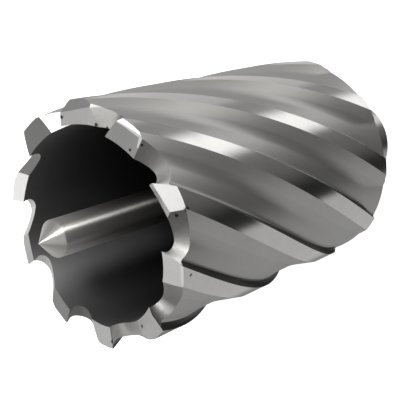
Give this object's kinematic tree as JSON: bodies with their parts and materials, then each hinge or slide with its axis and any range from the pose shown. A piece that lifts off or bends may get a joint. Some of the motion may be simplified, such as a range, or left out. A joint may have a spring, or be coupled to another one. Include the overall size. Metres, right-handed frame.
{
  "type": "annular cutter",
  "caption": "Hollow helical-fluted core cutter with ground steel teeth round its open mouth, a round shank with driving flats and a sliding pilot pin.",
  "frame": {"origin": "on the tool's axis, in the plane of the shank end that it stands on", "axes": "+Z from the shank end up to the toothed mouth; the pictured side faces -Y"},
  "size_m": [0.0428, 0.0428, 0.0932],
  "materials": {
    "tool_steel": "ground, with satin flutes and polished lands",
    "pin_steel": "polished"
  },
  "bodies": {
    "cutter": {"cutter_body": "tool_steel"},
    "pin": {"pilot_pin": "pin_steel"}
  },
  "joints": [
    {"name": "pin_slide", "type": "slide", "parent": "cutter", "child": "pin", "axis": [0, 0, 1], "range_m": [-0.064, 0.012]}
  ]
}
